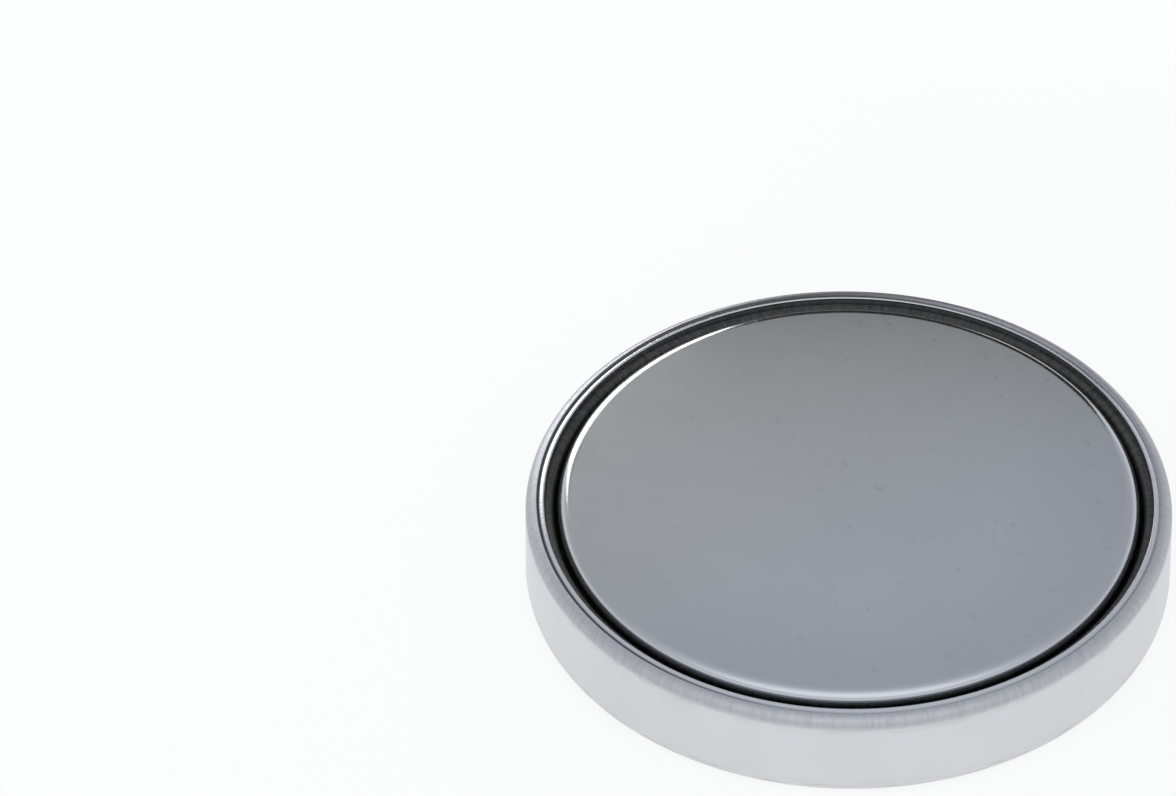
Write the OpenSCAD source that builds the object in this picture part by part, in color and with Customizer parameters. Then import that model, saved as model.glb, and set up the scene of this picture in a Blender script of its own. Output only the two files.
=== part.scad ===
// Lithium coin cell of the 2032 size, lying on its positive face with the negative face up.
// Every piece is turned about the cell's axis, so each module revolves one half section, drawn
// as [radius, height]. The origin is the centre of the positive face. All lengths are in mm.

/* [Cell] */
// Diameter over the positive can
cell_d = 20.0; // [18:0.1:24]
// Height from the positive face to the negative face
cell_h = 3.2; // [2.5:0.05:5]

/* [Positive can] */
// Sheet thickness of the can
can_t = 0.25; // [0.2:0.01:0.3]
// Outer radius of the bend from the positive face into the side wall
can_base_bend = 0.4; // [0.3:0.05:0.9]
// Outer radius of the crimped rim
crimp_bend = 0.42; // [0.36:0.01:0.55]
// Angle by which the crimped lip dips towards the cell, in degrees
lip_slope = 2; // [0:1:15]
// Straight length of the lip, from the end of the crimp bend to its cut edge
lip_straight = 0.14; // [0.05:0.01:0.2]

/* [Negative cap] */
// Sheet thickness of the cap
cap_t = 0.25; // [0.2:0.01:0.3]
// Height by which the negative face stands above the crimped rim
cap_rise = 0.15; // [0.1:0.01:0.3]
// Width of the open groove between the lip and the side of the cap
groove_w = 0.4; // [0.35:0.01:0.6]
// Outer radius of the shoulder round the negative face
cap_shoulder = 0.5; // [0.35:0.01:0.6]
// Straight height of the cap's side, between its shoulder and its flange fillet
cap_side_h = 0.03; // [0.01:0.01:0.15]
// Radius of the fillet from the cap's side into its flange
flange_fillet = 0.2; // [0.1:0.01:0.25]
// Outer radius of the bend from the flange into the skirt
flange_bend = 0.3; // [0.26:0.01:0.35]

/* [Gasket] */
// Gasket thickness between the skirt and the can's side wall
gasket_wall = 0.2; // [0.15:0.01:0.3]
// Gasket thickness between the skirt's edge and the can's floor
gasket_base = 0.25; // [0.15:0.01:0.4]
// Thickness of the gasket's inner leg, inside the skirt
gasket_leg_t = 0.2; // [0.15:0.01:0.3]
// Height of the gasket's inner leg above the can's floor
gasket_leg_h = 1.1; // [0.6:0.05:1.5]

/* [Electrodes] */
// Thickness of the lithium disc
lithium_t = 0.6; // [0.4:0.05:0.8]
// Clearance from the edge of the lithium disc to the bend of the cap's shoulder
lithium_gap = 0.75; // [0.3:0.05:1.5]
// Thickness of the separator
separator_t = 0.2; // [0.1:0.01:0.3]
// Clearance between the separator and the inside of the cap
separator_gap = 0.25; // [0.15:0.01:0.5]
// Height of the separator's turned-down edge, over all
separator_edge_h = 0.75; // [0.6:0.05:0.9]
// Outer radius of the bend into the separator's turned-down edge
separator_bend = 0.3; // [0.22:0.01:0.4]
// Sheet thickness of the ring that holds the cathode pellet
ring_t = 0.15; // [0.1:0.01:0.2]
// Height of the cathode ring
ring_h = 1.05; // [0.6:0.05:1.2]
// Width of the cathode ring's foot, over all
ring_foot_w = 1.2; // [0.6:0.05:2]
// Outer radius of the bend between the cathode ring's foot and its wall
ring_bend = 0.25; // [0.2:0.01:0.4]
// Clearance between the cathode ring and the separator's edge
ring_gap = 0.15; // [0.05:0.01:0.4]
// Chamfer round the top edge of the cathode pellet
pellet_chamfer = 0.1; // [0.05:0.01:0.2]

/* [Hidden] */
$fn = 128;

bend_steps = 8;     // flats that stand for one bend or round
least_bend = 0.02;  // a bend that comes out tighter than this is a sharp corner
fillet_share = 0.4; // most of the flange's width that its fillet may take

// The can, from the cell's overall size
cell_r = cell_d / 2;
rim_z = cell_h - cap_rise;
can_in_r = cell_r - can_t;
crimp_r = cell_r - crimp_bend;   // centre of the crimp bend
crimp_z = rim_z - crimp_bend;
lip_start_r = crimp_r - crimp_bend * sin(lip_slope);
lip_start_z = crimp_z + crimp_bend * cos(lip_slope);
lip_r = lip_start_r - lip_straight * cos(lip_slope);
lip_z = lip_start_z - lip_straight * sin(lip_slope);
crimp_corner_z = lip_start_z + (cell_r - lip_start_r) * tan(lip_slope);

// The cap, inside the can's opening and inside the gasket
cap_r = lip_r - groove_w;
cap_in_r = cap_r - cap_t;
cap_in_z = cell_h - cap_t;
skirt_r = can_in_r - gasket_wall;
skirt_in_r = skirt_r - cap_t;
skirt_z = can_t + gasket_base;
flange_w = skirt_r - cap_r;
flange_fillet_fit = min(flange_fillet, fillet_share * flange_w);
flange_bend_fit = min(flange_bend, flange_w - flange_fillet_fit);
flange_z = cell_h - cap_shoulder - cap_side_h - flange_fillet_fit;

// The gasket's inner leg
leg_in_r = skirt_in_r - gasket_leg_t;
leg_z = can_t + gasket_leg_h;

// The electrodes, stacked between the cap and the can's floor
lithium_r = cap_in_r - (cap_shoulder - cap_t) - lithium_gap;
lithium_z = cap_in_z - lithium_t;
separator_r = cap_in_r - separator_gap;
separator_z = lithium_z - separator_t;
separator_edge_z = lithium_z - separator_edge_h;
ring_r = separator_r - separator_t - ring_gap;
ring_foot_r = ring_r - ring_foot_w;
ring_z = can_t + ring_h;
pellet_r = ring_r - ring_t;

// Corners of the outer face of each bent sheet, as [radius, height, bend radius]
can_corners = [
    [0, 0, 0],
    [cell_r, 0, can_base_bend],
    [cell_r, crimp_corner_z, crimp_bend],
    [lip_r, lip_z, 0]
];
cap_corners = [
    [0, cell_h, 0],
    [cap_r, cell_h, cap_shoulder],
    [cap_r, flange_z, flange_fillet_fit],
    [skirt_r, flange_z, flange_bend_fit],
    [skirt_r, skirt_z, 0]
];
separator_corners = [
    [0, lithium_z, 0],
    [separator_r, lithium_z, separator_bend],
    [separator_r, separator_edge_z, 0]
];
ring_corners = [
    [ring_foot_r, can_t, 0],
    [ring_r, can_t, ring_bend],
    [ring_r, ring_z, 0]
];

function unit(v) = v / norm(v);
function left_of(v) = [-v[1], v[0]];
function turned(v, a) = [v[0] * cos(a) - v[1] * sin(a), v[0] * sin(a) + v[1] * cos(a)];
function place(corner) = [corner[0], corner[1]];
function reversed(list) = [for (i = [len(list) - 1 : -1 : 0]) list[i]];

// Angle of the turn from direction a to direction b, positive to the left
function turn(a, b) = atan2(a[0] * b[1] - a[1] * b[0], a[0] * b[0] + a[1] * b[1]);

// Points of the bend that rounds the corner "at"
function bend_points(before, at, after, bend) =
    let (a = unit(at - before), b = unit(after - at), angle = turn(a, b))
    bend < least_bend ? [at] :
    let (
        start = at - a * bend * tan(abs(angle) / 2),
        centre = start + left_of(a) * bend * sign(angle)
    )
    [for (i = [0 : bend_steps]) centre + turned(start - centre, angle * i / bend_steps)];

// The face of a sheet: its corners with every bend drawn
function face(corners) = [
    for (i = [0 : len(corners) - 1])
        each i == 0 || i == len(corners) - 1
            ? [place(corners[i])]
            : bend_points(
                place(corners[i - 1]), place(corners[i]), place(corners[i + 1]), corners[i][2]
            )
];

// Corners of the sheet's other face, which lies t to the left of the first
function offset_corners(corners, t) = [
    for (i = [0 : len(corners) - 1])
        let (
            last = len(corners) - 1,
            at = place(corners[i]),
            a = unit(place(corners[max(i, 1)]) - place(corners[max(i, 1) - 1])),
            b = unit(place(corners[min(i, last - 1) + 1]) - place(corners[min(i, last - 1)])),
            side_a = left_of(a),
            side_b = left_of(b),
            moved = at + (side_a + side_b) * t / (1 + side_a * side_b)
        )
        [moved[0], moved[1], corners[i][2] - t * sign(turn(a, b))]
];

// Half section of a bent sheet of thickness t, laid to the left of its corners
module sheet(corners, t) {
    polygon(concat(face(corners), reversed(face(offset_corners(corners, t)))));
}

// Deep-drawn steel can, its rim crimped inwards over the gasket
module positive_can() {
    color([0.74, 0.76, 0.79])
        rotate_extrude() sheet(can_corners, can_t);
}

// Steel cap: negative face, shoulder, flange under the crimp, and skirt down inside the gasket
module negative_cap() {
    color([0.60, 0.62, 0.65])
        rotate_extrude() sheet(cap_corners, -cap_t);
}

// Sealing gasket: a channel round the cap's skirt, with a rounded nose that shows in the groove
module gasket() {
    outside = [for (p = face(offset_corners(can_corners, can_t))) if (p[0] > leg_in_r) p];
    flange_start = [cap_r + flange_fillet_fit, flange_z];
    on_flange = [for (p = face(cap_corners)) if (p[0] > flange_start[0] + least_bend / 2) p];
    nose_from = outside[len(outside) - 1];
    nose_centre = (nose_from + flange_start) / 2;
    nose = [
        for (i = [1 : bend_steps])
            nose_centre + turned(nose_from - nose_centre, 180 * i / bend_steps)
    ];
    color([0.16, 0.155, 0.15])
        rotate_extrude() polygon(concat(
            [[leg_in_r, can_t]], outside, nose, on_flange,
            [[skirt_in_r, skirt_z], [skirt_in_r, leg_z], [leg_in_r, leg_z]]
        ));
}

// Disc of lithium, pressed against the inside of the cap
module lithium_anode() {
    color([0.80, 0.80, 0.77])
        translate([0, 0, lithium_z]) cylinder(r = lithium_r, h = lithium_t);
}

// Non-woven separator, with its edge turned down round the pellet
module separator() {
    color([0.94, 0.94, 0.91])
        rotate_extrude() sheet(separator_corners, -separator_t);
}

// Pressed pellet of manganese dioxide and carbon, seated in its ring and on the can's floor
module cathode_pellet() {
    in_ring = face(offset_corners(ring_corners, ring_t));
    color([0.09, 0.09, 0.09])
        rotate_extrude() polygon(concat(
            [[0, can_t], [ring_foot_r, can_t]], in_ring,
            [[pellet_r, separator_z - pellet_chamfer], [pellet_r - pellet_chamfer, separator_z]],
            [[0, separator_z]]
        ));
}

// Steel ring of L section, flush with the underside of the pellet
module cathode_ring() {
    color([0.66, 0.67, 0.69])
        rotate_extrude() sheet(ring_corners, ring_t);
}

positive_can();
negative_cap();
gasket();
lithium_anode();
separator();
cathode_pellet();
cathode_ring();
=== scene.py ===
import math
import bpy
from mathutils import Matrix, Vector


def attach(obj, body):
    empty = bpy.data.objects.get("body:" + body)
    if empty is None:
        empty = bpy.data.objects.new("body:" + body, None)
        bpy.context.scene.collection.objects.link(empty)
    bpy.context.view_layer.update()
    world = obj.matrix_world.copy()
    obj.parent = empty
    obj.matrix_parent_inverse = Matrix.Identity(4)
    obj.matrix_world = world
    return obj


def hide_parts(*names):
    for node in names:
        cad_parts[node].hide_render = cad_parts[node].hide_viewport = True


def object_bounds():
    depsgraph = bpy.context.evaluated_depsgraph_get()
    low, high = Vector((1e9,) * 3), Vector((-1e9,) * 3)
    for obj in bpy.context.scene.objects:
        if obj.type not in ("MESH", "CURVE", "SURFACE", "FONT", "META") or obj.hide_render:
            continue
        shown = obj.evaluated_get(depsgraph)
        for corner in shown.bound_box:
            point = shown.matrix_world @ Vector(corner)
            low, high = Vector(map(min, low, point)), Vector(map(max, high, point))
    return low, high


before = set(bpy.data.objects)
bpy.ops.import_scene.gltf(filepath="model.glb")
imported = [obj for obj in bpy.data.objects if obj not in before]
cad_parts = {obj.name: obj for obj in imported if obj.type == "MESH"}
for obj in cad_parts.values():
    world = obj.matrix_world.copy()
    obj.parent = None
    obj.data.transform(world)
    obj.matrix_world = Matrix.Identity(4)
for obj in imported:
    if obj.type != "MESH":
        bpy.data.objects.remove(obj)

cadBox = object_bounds()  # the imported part's box, before anything is dressed

# Lithium coin cell, lying on its positive face with the negative face up.
# Lengths are in mm, as on the part's own drawing, and become metres by this.
mm = 0.001


# helpers for modelling

# how close counts as the same, in mm
closeness = {
    "sharp": 0.004,             # a tighter bend than this is a plain corner
    "merge": 0.0005,            # points nearer than this become one
    "level": 0.002,             # of a height, when faces or edges are picked
    "round": 0.01,              # of a radius, when faces, edges or points are picked
}
leastFlats = 3                  # flats in the smallest bend


def deselectAll():
    if bpy.context.object and bpy.context.object.mode != "OBJECT":
        bpy.ops.object.mode_set(mode="OBJECT")
    bpy.ops.object.select_all(action="DESELECT")


def leftOf(direction):
    return Vector((-direction.y, direction.x))


def turned(arm, angle):
    return Vector((arm.x * math.cos(angle) - arm.y * math.sin(angle),
                   arm.x * math.sin(angle) + arm.y * math.cos(angle)))


def turnAngle(before, after):
    return math.atan2(before.x * after.y - before.y * after.x, before.dot(after))


# corners are (radius, height, bend radius); every bend becomes a run of points
def roundedPath(corners, steps):
    points = []
    last = len(corners) - 1
    for i, (r, z, bend) in enumerate(corners):
        at = Vector((r, z))
        if i in (0, last) or bend < closeness["sharp"]:
            points.append(at)
            continue
        into = (at - Vector(corners[i - 1][:2])).normalized()
        away = (Vector(corners[i + 1][:2]) - at).normalized()
        angle = turnAngle(into, away)
        start = at - into * bend * math.tan(abs(angle) / 2)
        centre = start + leftOf(into) * bend * math.copysign(1, angle)
        count = max(leastFlats, round(steps * abs(angle) / (math.pi / 2)))
        points += [centre + turned(start - centre, angle * k / count) for k in range(count + 1)]
    return points


# the other face of a bent sheet, thickness to the left of the first
def offsetCorners(corners, thickness):
    moved = []
    last = len(corners) - 1
    for i, (r, z, bend) in enumerate(corners):
        at = Vector((r, z))
        before = Vector(corners[max(i, 1) - 1][:2])
        into = (Vector(corners[max(i, 1)][:2]) - before).normalized()
        away = (Vector(corners[min(i, last - 1) + 1][:2])
                - Vector(corners[min(i, last - 1)][:2])).normalized()
        sideA, sideB = leftOf(into), leftOf(away)
        place = at + (sideA + sideB) * thickness / (1 + sideA.dot(sideB))
        turn = turnAngle(into, away)
        newBend = bend - thickness * math.copysign(1, turn) if bend > 0 else 0
        moved.append((place.x, place.y, newBend))
    return moved


# one half section, extruded point by point from a small plane merged to a single vertex,
# then spun once about the cell's axis
def spinSection(name, points, turns):
    deselectAll()
    bpy.ops.mesh.primitive_plane_add(size=1 * mm, location=(0, 0, 0))
    piece = bpy.context.object
    piece.name = name
    piece.data.name = name
    bpy.ops.object.mode_set(mode="EDIT")
    bpy.ops.mesh.select_mode(type="VERT")
    bpy.ops.mesh.select_all(action="SELECT")
    bpy.ops.mesh.merge(type="CENTER")
    bpy.ops.transform.translate(value=(points[0].x * mm, 0, points[0].y * mm))
    for here, there in zip(points, points[1:]):
        step = (there - here) * mm
        bpy.ops.mesh.extrude_region_move(TRANSFORM_OT_translate={"value": (step.x, 0, step.y)})
    bpy.ops.mesh.select_all(action="SELECT")
    bpy.ops.mesh.spin(steps=turns, angle=2 * math.pi, center=(0, 0, 0), axis=(0, 0, 1))
    bpy.ops.mesh.select_all(action="SELECT")
    bpy.ops.mesh.remove_doubles(threshold=closeness["merge"] * mm)
    bpy.ops.object.mode_set(mode="OBJECT")
    return piece


# selects the faces or edges whose middle, in mm, passes the test
def selectWhere(piece, kind, test):
    bpy.ops.object.mode_set(mode="OBJECT")
    mesh = piece.data
    for group in (mesh.polygons, mesh.edges, mesh.vertices):
        group.foreach_set("select", [False] * len(group))
    if kind == "FACE":
        for face in mesh.polygons:
            face.select = test(face.center / mm)
    else:
        for edge in mesh.edges:
            ends = [mesh.vertices[v].co for v in edge.vertices]
            edge.select = test((ends[0] + ends[1]) / 2 / mm)
    bpy.ops.object.mode_set(mode="EDIT")
    bpy.ops.mesh.select_mode(type=kind)


# closes the round hole that the half section left at the given height
def fillDisc(piece, height, radius):
    selectWhere(piece, "EDGE", lambda at: abs(at.z - height) < closeness["level"]
                and abs(math.hypot(at.x, at.y) - radius) < closeness["round"])
    bpy.ops.mesh.edge_face_add()
    bpy.ops.object.mode_set(mode="OBJECT")


def finishPiece(piece, sharpAngle, material, node):
    deselectAll()
    bpy.context.view_layer.objects.active = piece
    piece.select_set(True)
    bpy.ops.object.mode_set(mode="EDIT")
    bpy.ops.mesh.select_all(action="SELECT")
    bpy.ops.mesh.normals_make_consistent(inside=False)
    bpy.ops.object.mode_set(mode="OBJECT")
    bpy.ops.object.shade_smooth_by_angle(angle=math.radians(sharpAngle))
    piece.data.materials.clear()
    piece.data.materials.append(material)
    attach(piece, "root")
    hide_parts(node)
    print(piece.name, "has", len(piece.data.polygons), "faces")


# helpers for materials

# wraps one output of a node, so that sums are written the usual way
class Socket:
    def __init__(self, finish, output):
        self.finish = finish
        self.output = output

    def maths(self, operation, *values):
        return self.finish.node("ShaderNodeMath", {"operation": operation}, dict(enumerate(values)))

    def __add__(self, other):
        return self.maths("ADD", self, other)

    def __radd__(self, other):
        return self.maths("ADD", other, self)

    def __sub__(self, other):
        return self.maths("SUBTRACT", self, other)

    def __rsub__(self, other):
        return self.maths("SUBTRACT", other, self)

    def __mul__(self, other):
        return self.maths("MULTIPLY", self, other)

    def __rmul__(self, other):
        return self.maths("MULTIPLY", other, self)

    def __truediv__(self, other):
        return self.maths("DIVIDE", self, other)

    def __rtruediv__(self, other):
        return self.maths("DIVIDE", other, self)

    def __pow__(self, other):
        return self.maths("POWER", self, other)

    def __abs__(self):
        return self.maths("ABSOLUTE", self)

    def orMore(self, other):
        return self.maths("MAXIMUM", self, other)


def colour(value):
    return value if isinstance(value, Socket) else (*value, 1)


# The dictionaries write all looks in the same way. A colour is red, green and blue, or two of
# them that a pattern mixes. A pattern is its scale, detail, roughness and distortion. A range
# gives where something starts and where it is full. Scales are along x, y and z.
class Finish:
    axisGuard = 0.0001          # keeps the radius above 0 on the axis
    noiseMiddle = 0.5

    def __init__(self, name, holder=None):
        self.material = holder or bpy.data.materials.new(name)
        self.material.use_nodes = True
        self.tree = self.material.node_tree
        self.tree.nodes.clear()

    # settings first, then the values or links of the sockets; output is one name or several
    def node(self, kind, settings=None, values=None, output=0):
        made = self.tree.nodes.new(kind)
        for key, setting in (settings or {}).items():
            setattr(made, key, setting)
        for key, value in (values or {}).items():
            if isinstance(value, Socket):
                self.tree.links.new(value.output, made.inputs[key])
            else:
                made.inputs[key].default_value = value
        if isinstance(output, tuple):
            return [Socket(self, made.outputs[one]) for one in output]
        return Socket(self, made.outputs[output]) if made.outputs else None

    # place on the piece, in mm
    def place(self):
        coordinates = self.node("ShaderNodeTexCoord", output="Object")
        return self.node("ShaderNodeVectorMath", {"operation": "SCALE"},
                         {"Vector": coordinates, "Scale": 1 / mm})

    # a place scaled along x, y and z, which squeezes or stretches the pattern on it
    def scaled(self, place, scales):
        return self.node("ShaderNodeVectorMath", {"operation": "MULTIPLY"}, {0: place, 1: scales})

    def parts(self, vector):
        return self.node("ShaderNodeSeparateXYZ", values={"Vector": vector},
                         output=("X", "Y", "Z"))

    def radius(self, x, y):
        return (x * x + y * y + self.axisGuard) ** 0.5

    def vector(self, x, y, z):
        return self.node("ShaderNodeCombineXYZ", values={"X": x, "Y": y, "Z": z})

    # only turns with the angle round the axis and drifts slowly, for patterns in radial lines
    def ring(self, x, y, radius, drift):
        return self.vector(x / radius, y / radius, drift)

    def noise(self, vector, scale, detail=3, roughness=0.5, distortion=0):
        return self.node("ShaderNodeTexNoise", values={
            "Vector": vector, "Scale": scale, "Detail": detail,
            "Roughness": roughness, "Distortion": distortion})

    # makes a noise swing evenly to both sides of 0
    def evened(self, noise):
        return noise - self.noiseMiddle

    # 0 below low, 1 above high, smooth between
    def step(self, value, low, high):
        return self.node("ShaderNodeMapRange", {"interpolation_type": "SMOOTHSTEP"},
                         {"Value": value, "From Min": low, "From Max": high})

    # the same, with the range counted from another number
    def stepFrom(self, value, start, span):
        return self.step(value, start + span[0], start + span[1])

    # the Mix node has sockets for each kind of data: 6, 7 and output 2 are those for colours
    def mix(self, factor, first, second):
        return self.node("ShaderNodeMix", {"data_type": "RGBA", "clamp_factor": True},
                         {0: factor, 6: colour(first), 7: colour(second)}, output=2)

    def bump(self, height, depth):
        return self.node("ShaderNodeBump", values={
            "Height": height, "Distance": depth * mm, "Strength": 1})

    def surface(self, values):
        shader = self.node("ShaderNodeBsdfPrincipled", values=values)
        self.node("ShaderNodeOutputMaterial", values={"Surface": shader})
        return self.material


# camera

view = {
    "elevation": 41.84,         # degrees above the table, from the ratio of the rim's two widths
    "lens": 400,                # a long lens: the rings in the picture all keep the same ratio
    "sensor": 36,
    "imageWidth": 1176,
    "imageHeight": 796,
    "pixelsPerMm": 32.36,       # from the rim's width
    "cellX": 849,               # where the middle of the negative face falls, from the top left
    "cellY": 496,
    "clipStart": 0.01,          # in metres
}


def addCamera(faceHeight):
    tilt = math.radians(view["elevation"])
    toCamera = Vector((0, -math.cos(tilt), math.sin(tilt)))
    imageUp = Vector((0, math.sin(tilt), math.cos(tilt)))
    right = (view["imageWidth"] / 2 - view["cellX"]) / view["pixelsPerMm"] * mm
    rise = (view["cellY"] - view["imageHeight"] / 2) / view["pixelsPerMm"] * mm
    aim = Vector((right, 0, faceHeight)) + imageUp * rise
    distance = view["lens"] / view["sensor"] * view["imageWidth"] / view["pixelsPerMm"] * mm
    bpy.ops.object.camera_add(location=aim + toCamera * distance,
                              rotation=(math.pi / 2 - tilt, 0, 0))
    camera = bpy.context.object
    camera.name = "photoCamera"
    camera.data.lens = view["lens"]
    camera.data.sensor_width = view["sensor"]
    camera.data.clip_start = view["clipStart"]
    bpy.context.scene.camera = camera


bpy.context.scene.view_settings.view_transform = "Standard"
deselectAll()
addCamera(cadBox[1][2])
print("camera set")


# table, cards and lamps

studio = {
    "skyBright": (0.98, 1.0, 1.03),     # overhead and low round the room
    "skyBehind": (1.42, 1.44, 1.48),    # high behind the camera, which the near bends mirror
    "skyAhead": (0.62, 0.645, 0.695),   # higher on the far side, which the flat faces mirror
    "skyStrength": 1.0,
    "aheadDepth": (-0.85, 0.40),        # ranges of how far a direction points away from the
    "aheadHeight": (0.10, 0.50),        # camera, and of how far it points up
    "behindDepth": (-0.70, -0.15),
    "behindHeight": (0.48, 0.66),
    "tableColour": (0.95, 0.95, 0.95),
    "tableSize": 3.0,                   # in metres
    "tableGlow": 0.84,                  # share that is plain white, the rest takes the shadow
    "tableDrop": 0.01,                  # keeps the table just clear of the positive face
}

# cards behind the cell, which the camera doesn't see: the dark and the grey one are mirrored in
# the far rim and the far shoulder of the cap, the pale one darkens the far side of the face
cards = {
    "darkCard": {"place": (6.5, 34, 13.3), "size": (25, 15.6), "lean": 90,
                 "colour": (0.025, 0.026, 0.03), "shadow": True},
    "greyCard": {"place": (-3.5, 23.5, 3.2), "size": (20, 22), "lean": 16,
                 "colour": (0.11, 0.11, 0.115), "shadow": False},
    "paleCard": {"place": (-5, 34.5, 25.8), "size": (42, 9.4), "lean": 90,
                 "colour": (0.49, 0.50, 0.50), "shadow": True},
}

# power is in watts
lamps = {
    "leftSoftbox": {"place": (-56, 231, 70), "size": (175, 130), "power": 0.20},
}


def addTable():
    deselectAll()
    bpy.ops.mesh.primitive_plane_add(size=studio["tableSize"],
                                     location=(0, 0, -studio["tableDrop"] * mm))
    table = bpy.context.object
    table.name = "table"
    finish = Finish("tablePaper")
    camera, glossy, through = finish.node("ShaderNodeLightPath", output=(
        "Is Camera Ray", "Is Glossy Ray", "Is Transmission Ray"))
    paper = finish.node("ShaderNodeBsdfDiffuse", values={"Color": colour(studio["tableColour"])})
    white = finish.node("ShaderNodeEmission", values={"Color": (1, 1, 1, 1), "Strength": 1})
    seen = (camera + glossy + through) * studio["tableGlow"]
    mixed = finish.node("ShaderNodeMixShader", values={"Fac": seen, 1: paper, 2: white})
    finish.node("ShaderNodeOutputMaterial", values={"Surface": mixed})
    table.data.materials.append(finish.material)


def addCards():
    for name, card in cards.items():
        deselectAll()
        bpy.ops.mesh.primitive_plane_add(size=1 * mm, location=Vector(card["place"]) * mm,
                                         rotation=(math.radians(card["lean"]), 0, 0))
        made = bpy.context.object
        made.name = name
        made.scale = (*card["size"], 1)
        bpy.ops.object.transform_apply(location=True, rotation=True, scale=True)
        made.visible_camera = False
        made.visible_diffuse = False
        made.visible_shadow = card["shadow"]
        finish = Finish(name + "Paper")
        paper = finish.node("ShaderNodeBsdfDiffuse", values={"Color": colour(card["colour"])})
        finish.node("ShaderNodeOutputMaterial", values={"Surface": paper})
        made.data.materials.append(finish.material)


def addLamps():
    for name, lamp in lamps.items():
        deselectAll()
        place = Vector(lamp["place"]) * mm
        bpy.ops.object.light_add(type="AREA", location=place)
        made = bpy.context.object
        made.name = name
        made.rotation_euler = place.to_track_quat("Z", "Y").to_euler()
        made.data.shape = "RECTANGLE"
        made.data.size, made.data.size_y = (side * mm for side in lamp["size"])
        made.data.energy = lamp["power"]


def setSky():
    sky = bpy.data.worlds.new("studioSky")
    bpy.context.scene.world = sky
    finish = Finish("studioSky", sky)
    direction = finish.node("ShaderNodeTexCoord", output="Generated")
    y, z = finish.parts(direction)[1:]
    ahead = finish.step(y, *studio["aheadDepth"]) * finish.step(z, *studio["aheadHeight"])
    behind = (1 - finish.step(y, *studio["behindDepth"])) * finish.step(z, *studio["behindHeight"])
    shade = finish.mix(ahead, studio["skyBright"], studio["skyAhead"])
    shade = finish.mix(behind, shade, studio["skyBehind"])
    light = finish.node("ShaderNodeBackground", values={
        "Color": shade, "Strength": studio["skyStrength"]})
    finish.node("ShaderNodeOutputWorld", values={"Surface": light})


addTable()
addCards()
addLamps()
setSky()
print("studio set")


# positive can

can = {
    "radius": 9.9999,           # a hair inside the part's 10, so that rounding stays in its box
    "height": 3.05,
    "sheet": 0.25,
    "baseBend": 0.40,           # outer radius from the positive face into the wall
    "crimpBend": 0.42,          # outer radius of the crimped rim
    "lipSlope": 2,              # degrees by which the lip dips towards the cell
    "lipStraight": 0.14,
    "edgeBreak": 0.03,          # worn round of the cut edge, above
    "underBreak": 0.018,        # and below
    "hub": 6.0,                 # the flat faces are plain discs inside this radius
    "notchRadius": 9.605,       # thin notch that the crimping die leaves round the rim
    "notchDepth": 0.06,
    "notchOuter": 0.055,        # its steep outer side
    "notchInner": 0.13,         # its shallow inner side, which rises to the lip's edge
    "notchStep": 0.010,         # length of the short steps that draw it
    "notchReach": 0.1,          # only this much of the rim, from the top down, is pressed
    "rimTop": 0.06,             # only this much of it has the short steps
    "groove": 0.4,              # from the lip's cut edge to the side of the cap
    "turns": 360,
    "bendSteps": 12,
    "sharpAngle": 20,
    # plus sign pressed into the positive face
    "plus": {"x": 0.5, "y": 2.9, "arm": 2.0, "stroke": 0.26, "slopeWidth": 0.035, "depth": 0.02},
    "look": {
        "wallSteel": ((0.64, 0.655, 0.68), (0.72, 0.735, 0.76)),
        "faceSteel": ((0.54, 0.54, 0.54), (0.61, 0.61, 0.605)),
        # painted shade: the rim's steel is darker than the wall's, in place of its darker
        # reflection
        "paintedShadeLipSteel": ((0.48, 0.49, 0.51), (0.43, 0.44, 0.46)),
        "wornSteel": (0.50, 0.505, 0.51),
        # dirt, with painted shade for the recess of the die's notch
        "dirtAndPaintedShade": (0.05, 0.05, 0.055),
        "frosted": (0.86, 0.87, 0.88),
        "drift": (0.06, 0.03),          # of the radial lines, with the radius and the height
        "marks": (76, 4, 0.65),         # short radial marks of the crimp
        "marksRange": (0.35, 0.70),
        "drawn": (34, 3, 0.6),          # fine lines down the wall
        "grain": (1, 4, 0.6),           # rolled grain of the flat face
        "grainScales": (1.5, 16, 1),
        "cloud": (0.55, 4),             # slow changes of tone
        "speck": (7, 2),
        "scuffs": (1, 4, 0.6),
        "scuffScales": (1.1, 1.1, 7),
        "scuffRange": (0.46, 0.66),
        "lipRadius": (9.30, 9.40),
        "lipHeight": (2.55, 2.80),
        "faceHeight": (0.02, 0.25),
        "baseScuffs": (0.30, 0.62),     # heights
        "rimScuffs": (2.35, 2.60),
        "beadEnd": (-0.03, 0),          # from the notch's radius
        "dirtAndShadeStart": (-0.07, -0.02),
        "dirtAndShadeEnd": (0.05, 0.08),
        "dirtAndShadeSide": (-4, 5),            # the notch's dirt and painted shade are darker on one side of the cell
        "dirtAndShadeLean": 0.35,
        "dirtAndShadeLeast": 0.25,
        "dirtAndShadeMore": 0.62,
        "armEnd": (-0.02, 0.02),        # from the ends of the plus sign's arms
        "strokeEnd": (0, 0.03),         # from the sides of its stroke
        "share": {"worn": 0.3, "bead": 0.6, "frosted": 0.5},    # of each colour
        "rough": {"base": 0.18, "wall": 0.18, "face": 0.12, "frosted": 0.25, "cloud": 0.10,
                  "lip": 0.30, "bead": 0.24, "marks": 0.15, "speck": 0.05, "worn": 0.16},
        "relief": {"marks": 1.1, "drawn": 0.22, "grain": 0.5, "speck": 0.12},
        "bump": 0.006,
    },
}


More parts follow.
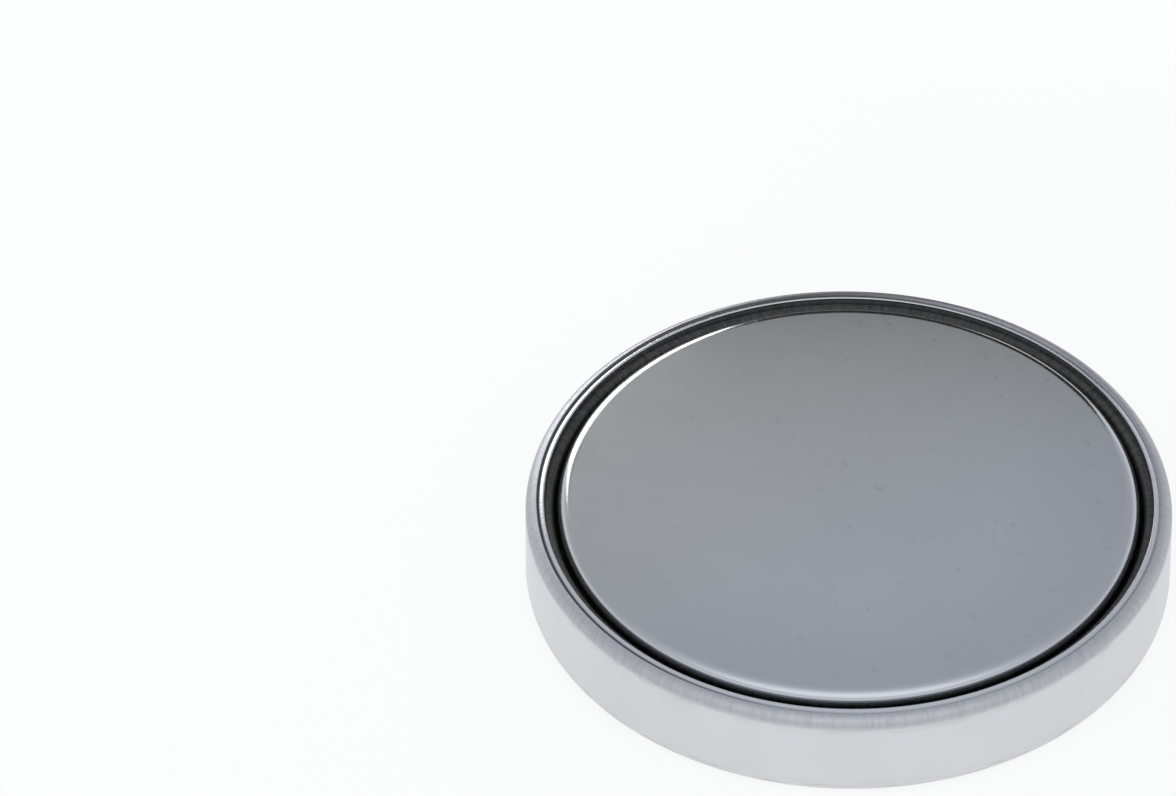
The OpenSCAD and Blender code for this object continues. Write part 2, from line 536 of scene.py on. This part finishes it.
# 1 where the plus sign is pressed into the face, with soft edges
def plusMask(finish, x, y):
    plus, look = can["plus"], can["look"]
    alongX, alongY = abs(x - plus["x"]), abs(y - plus["y"])
    arm, half = plus["arm"], plus["stroke"] / 2
    longWay = ((1 - finish.stepFrom(alongX, arm, look["armEnd"]))
               * (1 - finish.stepFrom(alongY, half, look["strokeEnd"])))
    crossWay = ((1 - finish.stepFrom(alongY, arm, look["armEnd"]))
                * (1 - finish.stepFrom(alongX, half, look["strokeEnd"])))
    return longWay.orMore(crossWay)


# nickel-plated steel of the can: dull grain on the flat face, fine drawn lines on the wall,
# and short radial marks where the rim was crimped
def makeCanSteel():
    look, notch = can["look"], can["notchRadius"]
    share, rough, relief = look["share"], look["rough"], look["relief"]
    finish = Finish("canSteel")
    place = finish.place()
    x, y, z = finish.parts(place)
    radius = finish.radius(x, y)
    outward, upward = look["drift"]
    ring = finish.ring(x, y, radius, radius * outward + z * upward)
    marks = finish.noise(ring, *look["marks"])
    drawn = finish.noise(ring, *look["drawn"])
    grain = finish.noise(finish.scaled(place, look["grainScales"]), *look["grain"])
    cloud = finish.noise(place, *look["cloud"])
    speck = finish.noise(place, *look["speck"])
    onLip = finish.step(radius, *look["lipRadius"]) * finish.step(z, *look["lipHeight"])
    onBead = onLip * (1 - finish.stepFrom(radius, notch, look["beadEnd"]))
    inNotch = (onLip * finish.stepFrom(radius, notch, look["dirtAndShadeStart"])
               * (1 - finish.stepFrom(radius, notch, look["dirtAndShadeEnd"])))
    onFace = 1 - finish.step(z, *look["faceHeight"])
    onWall = (1 - onLip) * (1 - onFace)
    # handling has scuffed the bend at the base and the outside of the crimp
    scuffs = finish.noise(finish.scaled(place, look["scuffScales"]), *look["scuffs"])
    atEdges = onWall * (1 - finish.step(z, *look["baseScuffs"])
                        + finish.step(z, *look["rimScuffs"]))
    worn = finish.step(scuffs, *look["scuffRange"]) * atEdges
    frosted = plusMask(finish, x, y) * onFace
    base = finish.mix(cloud, *look["wallSteel"])
    base = finish.mix(onFace, base, finish.mix(cloud, *look["faceSteel"]))
    base = finish.mix(worn * share["worn"], base, look["wornSteel"])
    # painted shade: the outside of the rim is painted darker than the wall, with the die's marks in
    # it; the bead keeps more of the wall's tone
    paintedShadeLipSteel = finish.mix(finish.step(marks, *look["marksRange"]), *look["paintedShadeLipSteel"])
    base = finish.mix(onLip * (1 - onBead * share["bead"]), base, paintedShadeLipSteel)
    # the notch is painted darker: dirt, and painted shade in its recess
    dirtAndShadeSide = finish.step(y * look["dirtAndShadeLean"] - x, *look["dirtAndShadeSide"])
    dirtAndPaintedShade = inNotch * (look["dirtAndShadeLeast"] + look["dirtAndShadeMore"] * dirtAndShadeSide)
    base = finish.mix(dirtAndPaintedShade, base, look["dirtAndPaintedShade"])
    base = finish.mix(frosted * share["frosted"], base, look["frosted"])
    lipRough = rough["lip"] - onBead * rough["bead"] + finish.evened(marks) * rough["marks"]
    roughness = (rough["base"] + onWall * rough["wall"] + onFace * rough["face"]
                 + frosted * rough["frosted"] + finish.evened(cloud) * rough["cloud"]
                 + onLip * lipRough + finish.evened(speck) * rough["speck"]
                 + worn * rough["worn"])
    height = (onLip * marks * relief["marks"] + onWall * drawn * relief["drawn"]
              + onFace * grain * relief["grain"] + speck * relief["speck"])
    return finish.surface({"Base Color": base, "Metallic": 1.0, "Roughness": roughness,
                           "Normal": finish.bump(height, look["bump"])})


def canCorners():
    slope = math.radians(can["lipSlope"])
    centreR = can["radius"] - can["crimpBend"]
    centreZ = can["height"] - can["crimpBend"]
    startR = centreR - can["crimpBend"] * math.sin(slope)
    startZ = centreZ + can["crimpBend"] * math.cos(slope)
    cornerZ = startZ + (can["radius"] - startR) * math.tan(slope)
    lipR = startR - can["lipStraight"] * math.cos(slope)
    lipZ = startZ - can["lipStraight"] * math.sin(slope)
    return [(can["hub"], 0, 0), (can["radius"], 0, can["baseBend"]),
            (can["radius"], cornerZ, can["crimpBend"]), (lipR, lipZ, 0)]


# short steps over the top of the crimp, so that the thin notch has points to bend
def refineCrimp(points):
    fine = []
    for here, there in zip(points, points[1:]):
        fine.append(here)
        onTop = min(here.y, there.y) > can["height"] - can["rimTop"]
        if onTop and min(here.x, there.x) < can["notchRadius"] + can["notchOuter"]:
            count = math.ceil((there - here).length / can["notchStep"])
            fine += [here.lerp(there, k / count) for k in range(1, count)]
    fine.append(points[-1])
    return fine


# sinks the die's thin notch into the top of the crimp
def pressNotch(point):
    if point.y < can["height"] - can["notchReach"]:
        return point
    away = point.x - can["notchRadius"]
    share = 1 - away / can["notchOuter"] if away > 0 else 1 + away / can["notchInner"]
    return Vector((point.x, point.y - can["notchDepth"] * max(0, share)))


# splits the disc under the cell along the plus sign's sides and sinks the cross in it
def cutPlus(piece):
    plus = can["plus"]
    reach, half = plus["arm"], plus["stroke"] / 2
    middle = Vector((plus["x"], plus["y"], 0))

    def onDisc(at):
        inside = math.hypot(at.x, at.y) < can["hub"] - closeness["round"]
        return inside and abs(at.z) < closeness["level"]

    def inCross(at):
        sides = sorted((abs(at.x - middle.x), abs(at.y - middle.y)))
        return onDisc(at) and sides[0] < half and sides[1] < reach

    for normal in (Vector((1, 0, 0)), Vector((0, 1, 0))):
        for shift in (-reach, -half, half, reach):
            selectWhere(piece, "FACE", onDisc)
            bpy.ops.mesh.bisect(plane_co=(middle + normal * shift) * mm, plane_no=normal)
    selectWhere(piece, "FACE", inCross)
    bpy.ops.mesh.inset(thickness=plus["slopeWidth"] * mm, depth=-plus["depth"] * mm,
                       use_boundary=True, use_even_offset=True)
    bpy.ops.object.mode_set(mode="OBJECT")


def makeCan(material):
    outer = canCorners()
    inner = offsetCorners(outer, can["sheet"])
    lipTop, lipUnder = outer[-1][:2], inner[-1][:2]
    section = outer[:-1] + [(*lipTop, can["edgeBreak"]), (*lipUnder, can["underBreak"])]
    section += inner[-2::-1]
    points = [pressNotch(point) for point in refineCrimp(roundedPath(section, can["bendSteps"]))]
    piece = spinSection("canShell", points, can["turns"])
    fillDisc(piece, 0, can["hub"])
    fillDisc(piece, can["sheet"], can["hub"])
    cutPlus(piece)
    finishPiece(piece, can["sharpAngle"], material, "positive_can")


makeCan(makeCanSteel())
print("can done")


# negative cap

cap = {
    "top": 3.2,
    "sheet": 0.25,
    "side": canCorners()[-1][0] - can["groove"],  # radius of the side, between shoulder and flange
    "shoulder": 0.5,
    "sideHeight": 0.03,
    "fillet": 0.2,
    "flangeBend": 0.3,
    "skirt": 9.55,
    "skirtBottom": 0.5,
    "hub": 6.0,
    "turns": 360,
    "bendSteps": 14,
    "sharpAngle": 32,
    "look": {
        "steel": ((0.475, 0.495, 0.52), (0.535, 0.55, 0.575)),
        "darkerEdgeSteel": (0.41, 0.425, 0.45),
        "paintedReflectionSteel": (0.505, 0.512, 0.475),
        "wornSteel": (0.60, 0.61, 0.62),
        "smudged": (0.40, 0.41, 0.42),
        "drift": 0.05,
        "drawn": (46, 3, 0.6),          # fine lines round the shoulder
        "grain": (1, 5, 0.65),          # rolled grain of the face
        "grainScales": (1.1, 13, 1),
        "cloud": (0.42, 5, 0.6),        # slow changes of tone
        "speck": (6, 2),
        "wear": (4.2, 5, 0.7),          # brighter spots where the shoulder starts
        "wearRange": (0.52, 0.66),
        "smudge": (2.6, 3, 0.7),        # faint dark spots of the face
        "smudgeRange": (0.62, 0.72),
        "shoulderStart": (-0.05, 0.12),     # from the radius where the face ends
        "crestStart": (-0.08, 0.02),
        "crestEnd": (0.05, 0.30),
        "darkerEdgeRadius": (4, 8.7),         # the sheet is a little darker towards one edge
        "darkerEdgeSide": (0, 6),
        "paintedReflectionSide": (-5, 6),            # and, as a painted reflection, less blue on one side
        "paintedReflectionLean": (-0.6, 0.8),        # shares of x and y that point to that side
        "share": {"darkerEdge": 0.5, "paintedReflection": 0.5, "worn": 0.2, "smudged": 0.45},  # of each colour
        "rough": {"base": 0.21, "shoulder": 0.07, "cloud": 0.08, "grain": 0.05,
                  "worn": 0.06, "smudged": 0.05},
        "relief": {"grain": 0.35, "drawn": 0.55, "speck": 0.1},
        "bump": 0.004,
    },
}


# satin stainless steel of the cap
def makeCapSteel():
    look, faceEnd = cap["look"], cap["side"] - cap["shoulder"]
    share, rough, relief = look["share"], look["rough"], look["relief"]
    finish = Finish("capSteel")
    place = finish.place()
    x, y = finish.parts(place)[:2]
    radius = finish.radius(x, y)
    drawn = finish.noise(finish.ring(x, y, radius, radius * look["drift"]), *look["drawn"])
    grain = finish.noise(finish.scaled(place, look["grainScales"]), *look["grain"])
    cloud = finish.noise(place, *look["cloud"])
    speck = finish.noise(place, *look["speck"])
    onShoulder = finish.stepFrom(radius, faceEnd, look["shoulderStart"])
    onCrest = (finish.stepFrom(radius, faceEnd, look["crestStart"])
               * (1 - finish.stepFrom(radius, faceEnd, look["crestEnd"])))
    worn = onCrest * finish.step(finish.noise(place, *look["wear"]), *look["wearRange"])
    smudge = finish.step(finish.noise(place, *look["smudge"]), *look["smudgeRange"])
    smudged = (1 - onShoulder) * smudge
    darkenedEdge = finish.step(radius, *look["darkerEdgeRadius"]) * (1 - finish.step(y, *look["darkerEdgeSide"]))
    leanX, leanY = look["paintedReflectionLean"]
    paintedReflectionMask = finish.step(x * leanX + y * leanY, *look["paintedReflectionSide"])
    base = finish.mix(cloud, *look["steel"])
    # darker towards one edge of the face
    base = finish.mix(darkenedEdge * share["darkerEdge"], base, look["darkerEdgeSteel"])
    # painted reflection: the face is tinted less blue towards one side
    base = finish.mix(paintedReflectionMask * share["paintedReflection"], base, look["paintedReflectionSteel"])
    base = finish.mix(worn * share["worn"], base, look["wornSteel"])
    base = finish.mix(smudged * share["smudged"], base, look["smudged"])
    roughness = (rough["base"] - onShoulder * rough["shoulder"]
                 + finish.evened(cloud) * rough["cloud"] + finish.evened(grain) * rough["grain"]
                 + worn * rough["worn"] + smudged * rough["smudged"])
    height = ((1 - onShoulder) * grain * relief["grain"] + onShoulder * drawn * relief["drawn"]
              + speck * relief["speck"])
    return finish.surface({"Base Color": base, "Metallic": 1.0, "Roughness": roughness,
                           "Normal": finish.bump(height, look["bump"])})


def capCorners():
    flange = cap["top"] - cap["shoulder"] - cap["sideHeight"] - cap["fillet"]
    return [(cap["hub"], cap["top"], 0), (cap["side"], cap["top"], cap["shoulder"]),
            (cap["side"], flange, cap["fillet"]), (cap["skirt"], flange, cap["flangeBend"]),
            (cap["skirt"], cap["skirtBottom"], 0)]


def makeCap(material):
    outer = capCorners()
    inner = offsetCorners(outer, -cap["sheet"])
    section = outer + inner[::-1]
    piece = spinSection("capShell", roundedPath(section, cap["bendSteps"]), cap["turns"])
    fillDisc(piece, cap["top"], cap["hub"])
    fillDisc(piece, cap["top"] - cap["sheet"], cap["hub"])
    finishPiece(piece, cap["sharpAngle"], material, "negative_cap")


makeCap(makeCapSteel())
print("cap done")


# gasket

gasket = {
    "legRadius": 9.10,          # inside of the inner leg
    "legTop": 1.35,
    "noseSteps": 16,
    "turns": 360,
    "bendSteps": 10,
    "sharpAngle": 40,
    "look": {
        "plastic": ((0.008, 0.008, 0.008), (0.058, 0.054, 0.049)),
        "film": (0.022, 0.021, 0.020),
        "filmShare": 0.3,
        "drift": 0.05,
        "creases": (70, 4, 0.7),
        "creaseRange": (0.34, 0.70),
        "cloud": (0.8, 3),
        "rough": {"base": 0.42, "creases": 0.2},
        "cloudRelief": 0.3,
        "bump": 0.020,
    },
}


# dark polypropylene of the gasket, drawn into fine radial creases by the crimp
def makeGasketPlastic():
    look, rough = gasket["look"], gasket["look"]["rough"]
    finish = Finish("gasketPlastic")
    place = finish.place()
    x, y = finish.parts(place)[:2]
    radius = finish.radius(x, y)
    creases = finish.noise(finish.ring(x, y, radius, radius * look["drift"]), *look["creases"])
    cloud = finish.noise(place, *look["cloud"])
    base = finish.mix(finish.step(creases, *look["creaseRange"]), *look["plastic"])
    base = finish.mix(cloud * look["filmShare"], base, look["film"])
    roughness = rough["base"] + finish.evened(creases) * rough["creases"]
    height = creases + cloud * look["cloudRelief"]
    return finish.surface({"Base Color": base, "Roughness": roughness,
                           "Normal": finish.bump(height, look["bump"])})


# runs up the inside of the can, over the round nose that shows in the groove, along the
# outside of the cap's flange and skirt, and round the inner leg
def makeGasket(material):
    canInner = [point for point in roundedPath(offsetCorners(canCorners(), can["sheet"]),
                                               gasket["bendSteps"])
                if point.x > gasket["legRadius"]]
    capOuter = capCorners()
    flangeStart = Vector((cap["side"] + cap["fillet"], capOuter[2][1]))
    onFlange = [point for point in roundedPath(capOuter, gasket["bendSteps"])
                if point.x > flangeStart.x + closeness["round"]]
    middle = (canInner[-1] + flangeStart) / 2
    arm = canInner[-1] - middle
    nose = [middle + turned(arm, math.pi * k / gasket["noseSteps"])
            for k in range(1, gasket["noseSteps"] + 1)]
    legInside, skirtInside = gasket["legRadius"], cap["skirt"] - cap["sheet"]
    foot = Vector((legInside, can["sheet"]))
    leg = [Vector((skirtInside, cap["skirtBottom"])), Vector((skirtInside, gasket["legTop"])),
           Vector((legInside, gasket["legTop"]))]
    points = [foot] + canInner + nose + onFlange + leg + [foot]
    piece = spinSection("gasketRing", points, gasket["turns"])
    finishPiece(piece, gasket["sharpAngle"], material, "gasket")


makeGasket(makeGasketPlastic())
print("gasket done")


# sealed inner pieces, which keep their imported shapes

lithium = {
    "metal": ((0.50, 0.50, 0.49), (0.80, 0.80, 0.77)),
    "film": (0.7, 6, 0.65, 0.6),
    "rolled": (1, 3),
    "rolledScales": (0.6, 9, 1),
    "metallic": 0.9,
    "rough": {"base": 0.38, "film": 0.3},
    "relief": {"film": 0.6, "rolled": 0.4},
    "bump": 0.02,
}


# freshly cut lithium: soft grey metal with a dull uneven film
def makeLithiumMetal():
    rough, relief = lithium["rough"], lithium["relief"]
    finish = Finish("lithiumMetal")
    place = finish.place()
    film = finish.noise(place, *lithium["film"])
    rolled = finish.noise(finish.scaled(place, lithium["rolledScales"]), *lithium["rolled"])
    base = finish.mix(film, *lithium["metal"])
    roughness = rough["base"] + finish.evened(film) * rough["film"]
    height = film * relief["film"] + rolled * relief["rolled"]
    return finish.surface({"Base Color": base, "Metallic": lithium["metallic"],
                           "Roughness": roughness,
                           "Normal": finish.bump(height, lithium["bump"])})


separator = {
    "felt": ((0.74, 0.74, 0.71), (0.90, 0.90, 0.87)),
    "fibres": (1, 4, 0.5, 1.2),
    # two sets of fibres that cross, each with its shares of x and y across and along a fibre
    "crossing": (((2, 9), (-0.6, 1.2)), ((9, -2), (1.1, 0.8))),
    "upright": 3,
    "feltRange": (0.4, 0.75),
    "rough": {"base": 0.75, "fibres": 0.2},
    "bump": 0.03,
}


# white non-woven polypropylene: a mat of crossing fibres
def makeSeparatorFelt():
    rough = separator["rough"]
    finish = Finish("separatorFelt")
    x, y, z = finish.parts(finish.place())
    fibres = []
    for (acrossX, acrossY), (alongX, alongY) in separator["crossing"]:
        turnedPlace = finish.vector(x * acrossX + y * acrossY, x * alongX + y * alongY,
                                    z * separator["upright"])
        fibres.append(finish.noise(turnedPlace, *separator["fibres"]))
    mat = fibres[0].orMore(fibres[1])
    base = finish.mix(finish.step(mat, *separator["feltRange"]), *separator["felt"])
    roughness = rough["base"] + finish.evened(mat) * rough["fibres"]
    return finish.surface({"Base Color": base, "Roughness": roughness,
                           "Normal": finish.bump(mat, separator["bump"])})


cathodePellet = {
    "mix": ((0.012, 0.012, 0.012), (0.055, 0.052, 0.050)),
    "flakeColour": (0.20, 0.20, 0.21),
    "grains": (9, 5, 0.7),
    "flakes": (14, 1),
    "flakeRange": (0.68, 0.74),
    "flakeShare": 0.7,
    "flakeMetal": 0.6,
    "rough": {"base": 0.85, "flakes": 0.45},
    "bump": 0.03,
}


# pressed manganese dioxide and carbon: black grains with a few bright flakes
def makeCathodeMix():
    rough = cathodePellet["rough"]
    finish = Finish("cathodeMix")
    place = finish.place()
    grains = finish.noise(place, *cathodePellet["grains"])
    flakes = finish.step(finish.noise(place, *cathodePellet["flakes"]),
                         *cathodePellet["flakeRange"])
    base = finish.mix(grains, *cathodePellet["mix"])
    base = finish.mix(flakes * cathodePellet["flakeShare"], base, cathodePellet["flakeColour"])
    return finish.surface({"Base Color": base, "Metallic": flakes * cathodePellet["flakeMetal"],
                           "Roughness": rough["base"] - flakes * rough["flakes"],
                           "Normal": finish.bump(grains, cathodePellet["bump"])})


cathodeRing = {
    "steel": ((0.52, 0.53, 0.54), (0.62, 0.63, 0.64)),
    "drift": 0.05,
    "drawn": (52, 3, 0.6),
    "cloud": (0.6, 4),
    "rough": {"base": 0.26, "drawn": 0.12},
    "bump": 0.004,
}


# plain stainless strip, drawn into the pellet's ring
def makeRingSteel():
    rough = cathodeRing["rough"]
    finish = Finish("ringSteel")
    place = finish.place()
    x, y = finish.parts(place)[:2]
    radius = finish.radius(x, y)
    drawn = finish.noise(finish.ring(x, y, radius, radius * cathodeRing["drift"]),
                         *cathodeRing["drawn"])
    base = finish.mix(finish.noise(place, *cathodeRing["cloud"]), *cathodeRing["steel"])
    roughness = rough["base"] + finish.evened(drawn) * rough["drawn"]
    return finish.surface({"Base Color": base, "Metallic": 1.0, "Roughness": roughness,
                           "Normal": finish.bump(drawn, cathodeRing["bump"])})


innerFinishes = {
    "lithium_anode": makeLithiumMetal,
    "separator": makeSeparatorFelt,
    "cathode_pellet": makeCathodeMix,
    "cathode_ring": makeRingSteel,
}

for nodeName, makeFinish in innerFinishes.items():
    material = makeFinish()
    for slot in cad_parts[nodeName].material_slots:
        slot.material = material
print("inner pieces finished")
